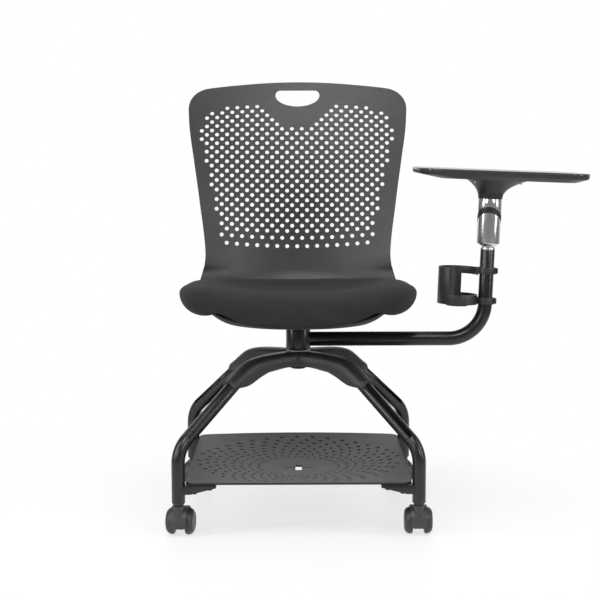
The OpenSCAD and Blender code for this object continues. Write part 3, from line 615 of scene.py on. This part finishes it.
# Perforations stand in a diamond lattice inside a field that dips under the hand hole.
HOLE_D, HOLE_PITCH, ROW_PITCH = 7.8, 20.66, 10.1
FIELD_TOP, FIELD_ROWS, FIELD_COLUMNS, FIELD_X = 768.0, 29, 19, -1.5
ROW_DROOP, ROW_SAG, SAG_ROW = 9.0, 5.0, 22


def field_top(column):
    """First row of a half-pitch column: a V under the hand hole and cut corners outside."""
    away = abs(column)
    if away < 8:
        return min(8 - away, 5)
    if away < 15:
        return 0
    return 1 if away < FIELD_COLUMNS else 5


def field_side(row):
    """Last half-pitch column of a row."""
    return FIELD_COLUMNS if row < 8 else 18.5 - 3.3 * ((row - 8) / 20) ** 1.2


# The upper rows droop towards their ends, and the lowest ones sag in the middle.
hole_x, hole_s = [], []
for row in range(FIELD_ROWS):
    for column in range(-FIELD_COLUMNS, FIELD_COLUMNS + 1):
        if (row + column) % 2 == 0 and row >= field_top(column) and abs(column) <= field_side(row):
            x = column * HOLE_PITCH / 2
            sag = ROW_SAG * max(0, row - SAG_ROW) / 6 * (1 - (x / 165) ** 2)
            droop = ROW_DROOP * max(0, 1 - row / SAG_ROW) * (x / 196) ** 2
            hole_x.append(x + FIELD_X)
            hole_s.append(FIELD_TOP - row * ROW_PITCH - 3.5 * max(0, row - 26) ** 1.5 - sag - droop)
hole_x, hole_s = np.array(hole_x), np.array(hole_s)
half = through(SHELL_WIDTH, hole_s)
places = shell_point(hole_x, half, hole_s, 0.0)
facings = shell_point(hole_x, half, hole_s, 1.0) - places
alongs = shell_point(hole_x + 1.0, half, hole_s, 0.0) - places
drill(shell, places, facings, alongs, np.ones((len(hole_x), 3)), HOLE_D / 2 * MM, SHELL_T * MM, 80.0,
      shell_plastic)
shade(shell, 28)
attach(shell, "seat")
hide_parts("seat_shell")

# ---------------------------------------------------------------- cushion
# A moulded foam pad in black woven upholstery, glued to a board over the pan. It is
# dished in the middle, with a soft bolster round the front and sides.


def woven_cloth(name, tone, threads):
    """Plain weave: two sets of threads that pass over each other, with a fine nap; the colour carries
    painted shade between the threads.
    """
    cloth = Finish(name, rough=0.92, Sheen_Weight=0.04, Sheen_Roughness=0.5)
    x, y, z = cloth.axes()
    pitch = 2 * math.pi * threads
    warp = (x * pitch).sine()
    weft = ((y + z * 0.7) * pitch).sine()
    over = (((x + y + z * 0.7) * (pitch / 2)).sine() * ((x - y - z * 0.7) * (pitch / 2)).sine())
    height = over.ramp(-0.15, 0.15) * (warp - weft) * 0.5 + weft * 0.5
    nap = cloth.noise(2600.0, 2.0)
    blotch = cloth.noise(14.0, 4.0)
    # The colour darkens where the threads dip and lightens on their crowns, which is painted shade. The nap
    # and the blotches are the cloth's own uneven tone.
    weave_shade_and_tone = (height * 0.22 + nap * 0.35 + blotch * 0.35).ramp(0.05, 0.75)
    cloth.feed("Base Color", cloth.mix(weave_shade_and_tone, grey(tone * 0.65), grey(tone * 1.45)))
    cloth.bump(height + nap * 0.8, 0.0004, 0.7)
    return cloth.material


seat_cloth = woven_cloth("seat_cloth", 0.005, threads=620.0)


def plump(piece, pressure, cap, frames=14):
    """Lets a closed pad swell as stuffed cloth, moving no point further than cap."""
    start = np.array([v.co for v in piece.data.vertices])
    cloth = piece.modifiers.new("swell", "CLOTH")
    cloth.settings.quality = 6
    cloth.settings.mass = 0.25
    cloth.settings.tension_stiffness = 18
    cloth.settings.compression_stiffness = 18
    cloth.settings.bending_stiffness = 1.0
    cloth.settings.use_pressure = True
    cloth.settings.uniform_pressure_force = pressure
    cloth.settings.effector_weights.gravity = 0
    cloth.collision_settings.use_collision = False
    cloth.point_cache.frame_start = 1
    cloth.point_cache.frame_end = frames
    for step in range(1, frames + 1):
        scene.frame_set(step)
    bake_modifiers(piece)
    scene.frame_set(1)
    swollen = np.array([v.co for v in piece.data.vertices])
    move = swollen - start
    length = np.linalg.norm(move, axis=1, keepdims=True)
    return start, move * np.minimum(1, cap / np.maximum(length, 1e-9))


# Half-width, depth of the widest line and reach in front of and behind it, crest height,
# and the share of the plan inside the rounded rim. The rear corners lean forward by the
# hollow. The pad stands a gap above the pan.
PAD_X, PAD_MID, PAD_FRONT, PAD_REAR, PAD_TOP, PAD_ROUND = 229.0, -20.0, 209.0, 175.0, 441.0, 0.84
PAD_HOLLOW, PAD_GAP, PAD_INSET = 44.0, 1.5, 4.0
DISH_X, DISH_Y, DISH_MID, DISH_DEPTH, DISH_POWER = 172.0, 132.0, -2.0, 10.0, 2.6
SIDE_RISE, REAR_RISE, FRONT_FALL, FALL_START = 15.0, 3.0, 34.0, -128.0
PAD_AROUND, PAD_RINGS, PAD_EDGE = 160, 17, 7
PAN_START, PAN_END = -178.0, 84.0


def pan_distance(y):
    """Distance along the shell's profile of the pan, or the bend behind it, at depth y."""
    (lip, _), (flat, _), (bend, turn) = SHELL_RUNS[:3]
    bend_r = bend / math.radians(turn)
    beyond = np.arcsin(np.clip((y - PAN_END) / bend_r, 0, 0.99)) * bend_r
    return np.where(y < PAN_END, np.maximum(0, lip + y - PAN_START), lip + flat + beyond)


def pan_top(x, y, gap):
    """Height of the shell's upper face plus a gap; past its edge it runs on level."""
    s = pan_distance(y)
    for _ in range(10):
        inner = np.minimum(np.abs(x), through(SHELL_WIDTH, s) - PAD_INSET)
        d = shell_bend(inner, s) + SHELL_T / 2 + gap
        s = pan_distance(y + d * np.sin(shell_line(s)[2]))
    _, z, heading = shell_line(s)
    return z + d * np.cos(heading)



# The outline in plan: round front corners, squarer rear ones drawn in round the shell.
turn = np.linspace(0, 2 * math.pi, 6001)
front_half = np.sin(turn) < 0
power = np.where(front_half, 2 / 3, 2 / 6)
plan_x = PAD_X * np.sign(np.cos(turn)) * np.abs(np.cos(turn)) ** power
plan_e = np.sign(np.sin(turn)) * np.abs(np.sin(turn)) ** power
plan_x = plan_x * np.where(front_half, 1, 1 - 0.1 * plan_e**2)
plan_y = plan_e * np.where(front_half, PAD_FRONT, PAD_REAR)
walk = np.concatenate([[0], np.cumsum(np.hypot(np.diff(plan_x), np.diff(plan_y)))])
stops = np.linspace(0, walk[-1], PAD_AROUND, endpoint=False)
plan_x, plan_y = np.interp(stops, walk, plan_x), np.interp(stops, walk, plan_y)

edge_turn = np.radians(np.linspace(0, 90, PAD_EDGE + 1))
ring_r = np.concatenate([np.linspace(0, PAD_ROUND, PAD_RINGS + 1)[1:-1],
                         PAD_ROUND + (1 - PAD_ROUND) * np.sin(edge_turn)])
ring_c = np.concatenate([np.ones(PAD_RINGS - 1), np.cos(edge_turn)])
pad_x = ring_r[:, None] * plan_x[None, :]
pad_y = PAD_MID + ring_r[:, None] * plan_y[None, :]
pad_y = pad_y - PAD_HOLLOW * (pad_x / 200) ** 2 * np.clip((pad_y - PAD_MID) / PAD_REAR, 0, 1) ** 2


def fade_in(y, start, length):
    """0 behind start, 1 from length further forward."""
    return np.clip((start - y) / length, 0, 1)


# The underside follows the pan, then droops past the pan's side and front edges.
pad_low = pan_top(pad_x, pad_y, PAD_GAP)
past = np.clip((np.abs(pad_x) - through(SHELL_WIDTH, pan_distance(pad_y)) + 8) / 18, 0, 1)
droop = 4 + 12 * fade_in(pad_y, -80, 60)
pad_low = pad_low - droop * past * fade_in(pad_y, 100, 60) - 8 * fade_in(pad_y, -210, 12)


def pad_high(x, y):
    """The top of the pad: a bolster round a shallow dish, higher at the sides."""
    away = np.abs(x / DISH_X) ** DISH_POWER + np.abs((y - DISH_MID) / DISH_Y) ** DISH_POWER
    away = away ** (1 / DISH_POWER)
    fill = np.clip((1 - away) / 0.45, 0, 1)
    dish = DISH_DEPTH * fill * fill * (3 - 2 * fill)
    fall = FRONT_FALL * (np.maximum(0, FALL_START - y) / 100) ** 2.1
    return PAD_TOP + SIDE_RISE * (x / 190) ** 2 + REAR_RISE * np.clip(y / 150, 0, 1) - dish - fall


pad_top = np.maximum(pad_high(pad_x, pad_y), pad_low + 8)
waist = pad_low + (0.42 - 0.16 * fade_in(pad_y, -150, 60)) * (pad_top - pad_low)
upper = np.stack([pad_x, pad_y, waist + (pad_top - waist) * ring_c[:, None]], -1)
lower = np.stack([pad_x, pad_y, waist - (waist - pad_low) * ring_c[:, None]], -1)[:-1]
centre_low = float(pan_top(0.0, np.array(PAD_MID), PAD_GAP))
centre = np.array([[0, PAD_MID, pad_high(0.0, PAD_MID)], [0, PAD_MID, centre_low]])
points = np.concatenate([upper.reshape(-1, 3), lower.reshape(-1, 3), centre]) * MM
rings, faces = len(ring_r), []
lower_at = rings * PAD_AROUND
for j in range(PAD_AROUND):
    k = (j + 1) % PAD_AROUND
    faces.append((len(points) - 2, j, k))
    faces.append((len(points) - 1, lower_at + k, lower_at + j))
    for i in range(rings - 1):
        a, b = i * PAD_AROUND, (i + 1) * PAD_AROUND
        faces.append((a + j, b + j, b + k, a + k))
        a, b = a + lower_at, (b + lower_at if i < rings - 2 else b)
        faces.append((a + k, b + k, b + j, a + j))
cushion = mesh_object("seat_cushion_cover", points, faces, seat_cloth)
outward(cushion)
rest, swell = plump(cushion, pressure=2.0, cap=0.0045)
under = np.array([v.normal.z < -0.3 for v in cushion.data.vertices])
swell[under] *= 0.2
cushion.data.vertices.foreach_set("co", (rest + swell).astype(np.float32).ravel())
smooth = cushion.modifiers.new("smooth", "SMOOTH")
smooth.factor, smooth.iterations = 0.5, 3
finer = cushion.modifiers.new("finer", "SUBSURF")
finer.levels = finer.render_levels = 1
bake_modifiers(cushion)
cushion.data.shade_smooth()
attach(cushion, "seat")
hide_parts("seat_cushion")

# ---------------------------------------------------------------- bright metal
# Chromed sleeve and ring, zinc-plated stems, axles, screws and spindle.


def bright_metal(name, tone, rough, streak):
    """Plated or polished metal with faint handling marks; streak is how strong they are."""
    metal = Finish(name, rough=rough, metal=1.0)
    metal.surface.inputs["Base Color"].default_value = (*grey(tone), 1)
    smear = metal.noise(16.0, 5.0, 0.6)
    metal.feed("Roughness", smear * streak + (rough - streak / 2))
    metal.feed("Base Color", metal.mix(smear, grey(tone * 0.94), grey(tone)))
    metal.bump(metal.noise(240.0, 2.0), 0.00002)
    return metal.material


chrome = bright_metal("chrome", 0.72, 0.2, 0.06)
zinc = bright_metal("zinc", 0.55, 0.3, 0.12)
dress(zinc, "spindle", "mast_post", "tablet_screws",
      *[f"caster_{end}_{part}" for end in ("fl", "fr", "rl", "rr") for part in ("stem", "axle")])
acetal = grained_plastic("acetal", 0.55, 0.4)
dress(acetal, "hub_bush_lower", "hub_bush_upper", "collar_bush", "sleeve_bush_lower", "sleeve_bush_upper")
dress(grained_plastic("band_plastic", 0.012, 0.5), "sleeve_band")

# ---------------------------------------------------------------- tablet
# A moulded work surface with a fine leathery grain on top, screwed to a smoother tray,
# and a flared bracket that joins it to the sleeve.

tablet_top_finish = grained_plastic("tablet_top_finish", 0.045, 0.15, grain=900.0, depth=0.00002)
tablet_under_finish = grained_plastic("tablet_under_finish", 0.02, 0.45)
ease_edges("tablet_top", tablet_top_finish, 1.6, steps=3)
ease_edges("tablet_tray", tablet_under_finish, 2.2, steps=3, above=14, smooth_angle=50)
ease_edges("tablet_bracket", tablet_under_finish, 0.8, smooth_angle=55)
ease_edges("tablet_sleeve", chrome, 0.7, smooth_angle=30)
ease_edges("mast_ring", chrome, 0.6, smooth_angle=30)

# ---------------------------------------------------------------- shelf
# A dished steel sheet pierced with a swirl of small slots, with a square hole and a
# narrow slit in the middle. It is powder coated in a lighter grey than the frame.

SHELF_X, SHELF_FRONT, SHELF_REAR, SHELF_DISH, SHELF_T, SHELF_CORNER = 209.0, 215.0, 225.0, 22.0, 4.0, 16.0


def shelf_z(x, y):
    v = (2 * y - SHELF_REAR + SHELF_FRONT) / (SHELF_REAR + SHELF_FRONT)
    u = x / SHELF_X
    rise = 4 * (1 - u * u) * np.maximum(0, v)
    return 100 + 5 * (v + 1) / 2 + rise - SHELF_DISH * (1 - u * u) * (1 - v * v)


shelf_coat = powder_coat("shelf_coat", 0.016, rough=0.5)
shelf_a = SHELF_CORNER * (1 - np.cos(np.radians(np.linspace(0, 90, 7))))
shelf_y = np.concatenate([-SHELF_FRONT + shelf_a, np.linspace(-SHELF_FRONT + 22, SHELF_REAR - 22, 56),
                          SHELF_REAR - shelf_a[::-1]])
cut = np.maximum(0, SHELF_CORNER - np.minimum(shelf_y + SHELF_FRONT, SHELF_REAR - shelf_y))
reach = SHELF_X - SHELF_CORNER + np.sqrt(SHELF_CORNER**2 - cut**2)
grid_x = reach[:, None] * np.linspace(1, -1, 57)[None, :]
grid_y = np.broadcast_to(shelf_y[:, None], grid_x.shape)
grids = [np.stack([grid_x, grid_y, shelf_z(grid_x, grid_y) + side * SHELF_T / 2], -1) * MM
         for side in (1, -1)]
points, faces = two_skins(*grids)
shelf = mesh_object("pierced_shelf", points, faces, shelf_coat)
outward(shelf)

# Each ring of slots is turned a little past the last, which makes the swirl.
SWIRL_RINGS, SWIRL_INNER, SWIRL_PITCH, SWIRL_TURN, SWIRL_SLOTS = 8, 80.0, 16.8, 6.2, 38
SLOT_R, SLOT_STRETCH, SLOT_LEAN, SWIRL_Y, SIDE_MARGIN, END_MARGIN = 3.9, 1.5, 0.75, 4, 12, 14
slot_at, slot_along, slot_shape = [], [], []
for ring in range(SWIRL_RINGS):
    r = SWIRL_INNER + SWIRL_PITCH * ring
    size = 0.55 + 0.45 * ring / (SWIRL_RINGS - 1)
    for i in range(SWIRL_SLOTS):
        a = 2 * math.pi * i / SWIRL_SLOTS + math.radians(SWIRL_TURN * ring)
        x, y = r * math.cos(a), r * math.sin(a) + SWIRL_Y
        if abs(x) < SHELF_X - SIDE_MARGIN and -SHELF_FRONT + END_MARGIN < y < SHELF_REAR - END_MARGIN:
            slot_at.append((x * MM, y * MM, shelf_z(x, y) * MM))
            slot_along.append((math.cos(a + SLOT_LEAN), math.sin(a + SLOT_LEAN), 0))
            slot_shape.append((SLOT_STRETCH * size, size, 1))
slot_up = np.tile((0.0, 0.0, 1.0), (len(slot_at), 1))
drill(shelf, slot_at, slot_up, slot_along, slot_shape, SLOT_R * MM, SHELF_T * MM, 0.0, shelf_coat)

for name, width, depth in (("square", 12.5, 42.0), ("slit", 62.0, 3.0)):
    tool = bmesh.new()
    bmesh.ops.create_cube(tool, size=1, matrix=Matrix.Translation((0, SWIRL_Y * MM, 0.083))
                          @ Matrix.Diagonal((width * MM, depth * MM, 0.03, 1)))
    tool_mesh = bpy.data.meshes.new(name)
    tool.to_mesh(tool_mesh)
    tool.free()
    cutter = bpy.data.objects.new(name, tool_mesh)
    scene.collection.objects.link(cutter)
    punch = shelf.modifiers.new(name, "BOOLEAN")
    punch.object = cutter
    punch.solver = "EXACT"
    bake_modifiers(shelf)
    bpy.data.objects.remove(cutter)
shade(shelf, 28)
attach(shelf, "base")
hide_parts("shelf")

# ---------------------------------------------------------------- screws
# Button-head screws with a hexagon socket hold the shelf, the seat and the cup holder.


def screw_blank(head_r, head_h, shank_r, length):
    """One screw, head up, with its seat at the origin."""
    rings = [(0.42, 0.35, True), (0.46, 0.93, True), (0.62, 1.0, False), (0.86, 0.8, False),
             (1.0, 0.4, False), (1.0, 0.0, False)]
    points = [(0, 0, 0.35 * head_h)]
    sides = 24
    levels = [(r * head_r, z * head_h, hexed) for r, z, hexed in rings]
    levels += [(shank_r, 0.0, False), (shank_r, -length, False)]
    for r, z, hexed in levels:
        for i in range(sides):
            a = 2 * math.pi * i / sides
            flat = math.cos(math.radians(30)) / math.cos((a % math.radians(60)) - math.radians(30))
            reach = r * (flat if hexed else 1)
            points.append((reach * math.cos(a), reach * math.sin(a), z))
    points.append((0, 0, -length))
    faces = [(0, 1 + i, 1 + (i + 1) % sides) for i in range(sides)]
    for k in range(len(levels) - 1):
        low, high = 1 + k * sides, 1 + (k + 1) * sides
        faces += [(low + i, high + i, high + (i + 1) % sides, low + (i + 1) % sides) for i in range(sides)]
    last = 1 + (len(levels) - 1) * sides
    faces += [(last + (i + 1) % sides, last + i, len(points) - 1) for i in range(sides)]
    blank = mesh_object("screw_blank", points, faces, black_coat, 30)
    outward(blank)
    shade(blank, 30)
    return blank


def fixing_tree():
    """Stands one screw at every point of another object, heads facing as marked."""
    tree = new_tree("fixing", ("Marks", "Object"), ("Screw", "Object"), ("Finish", "Material"))
    into = add_node(tree, "NodeGroupInput")
    marks = add_node(tree, "GeometryNodeObjectInfo", None, Object=into.outputs["Marks"])
    screw = add_node(tree, "GeometryNodeObjectInfo", None, Object=into.outputs["Screw"])
    facing = add_node(tree, "GeometryNodeInputNamedAttribute", {"data_type": "FLOAT_VECTOR"}, Name="facing")
    aim = add_node(tree, "FunctionNodeAlignRotationToVector", {"axis": "Z"}, Vector=facing.outputs[0])
    stamped = add_node(tree, "GeometryNodeInstanceOnPoints", None, Points=marks.outputs["Geometry"],
                       Instance=screw.outputs["Geometry"], Rotation=aim.outputs[0])
    solid = add_node(tree, "GeometryNodeRealizeInstances", None, Geometry=stamped.outputs[0])
    painted = add_node(tree, "GeometryNodeSetMaterial", None, Geometry=solid.outputs[0],
                       Material=into.outputs["Finish"])
    out = add_node(tree, "NodeGroupOutput")
    tree.links.new(painted.outputs[0], out.inputs[0])
    return tree


FIXING = fixing_tree()


def loose_parts(node):
    """Lowest and highest corner of each separate solid of a CAD node."""
    bm = bmesh.new()
    bm.from_mesh(NODES[node].data)
    bmesh.ops.remove_doubles(bm, verts=bm.verts, dist=1e-5)
    left, parts = set(bm.verts), []
    while left:
        seed = min(left, key=lambda v: v.index)
        group, edge = {seed}, [seed]
        while edge:
            for link in edge.pop().link_edges:
                for vertex in link.verts:
                    if vertex not in group:
                        group.add(vertex)
                        edge.append(vertex)
        left -= group
        spread = np.array([v.co for v in group])
        parts.append((Vector(spread.min(0)), Vector(spread.max(0))))
    bm.free()
    return parts


def fit_screws(node, name, facing, head_r, head_h, shank_r, material):
    """Screws in place of a CAD node's plain ones; their heads face along facing."""
    facing = Vector(facing)
    seats, lengths = [], []
    for low, high in loose_parts(node):
        middle = (low + high) / 2
        reach = abs((high - low).dot(facing))
        seats.append(middle + facing * (reach / 2 - head_h))
        lengths.append(reach - head_h)
    marks_mesh = bpy.data.meshes.new("seats")
    marks_mesh.from_pydata([tuple(p) for p in seats], [], [])
    layer = marks_mesh.attributes.new("facing", "FLOAT_VECTOR", "POINT")
    layer.data.foreach_set("vector", np.tile(np.array(facing, np.float32), len(seats)))
    marks = bpy.data.objects.new("seats", marks_mesh)
    scene.collection.objects.link(marks)
    blank = screw_blank(head_r, head_h, shank_r, min(lengths) - 0.0005)
    holder = mesh_object(name, [], [], material)
    run_tree(holder, FIXING, {"Marks": marks, "Screw": blank, "Finish": material})
    bpy.data.objects.remove(marks)
    bpy.data.objects.remove(blank)
    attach(holder, NODES[node]["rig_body"])
    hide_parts(node)


fit_screws("shelf_screws", "shelf_button_screws", (0, 0, -1), 4.5 * MM, 3.0 * MM, 2.4 * MM, black_coat)
fit_screws("seat_screws", "seat_button_screws", (0, 0, -1), 6.0 * MM, 4.0 * MM, 3.0 * MM, zinc)
fit_screws("cup_holder_screws", "cup_holder_button_screws", (0, -1, 0), 3.6 * MM, 2.8 * MM, 1.95 * MM,
           black_coat)

# ---------------------------------------------------------------- casters
# Twin-wheel casters: hard nylon wheels with a moulded hood over them, which carries the
# axle and turns on a steel stem pressed into the leg.

caster_plastic = grained_plastic("caster_plastic", 0.035, 0.42)
wheel_nylon = grained_plastic("wheel_nylon", 0.022, 0.42, grain=800.0)
for end in ("fl", "fr", "rl", "rr"):
    ease_edges(f"caster_{end}_hood", caster_plastic, 2.0, steps=4)
    for side in "lr":
        ease_edges(f"caster_{end}_wheel_{side}", wheel_nylon, 0.9, steps=2, above=8,
                   smooth_angle=35)
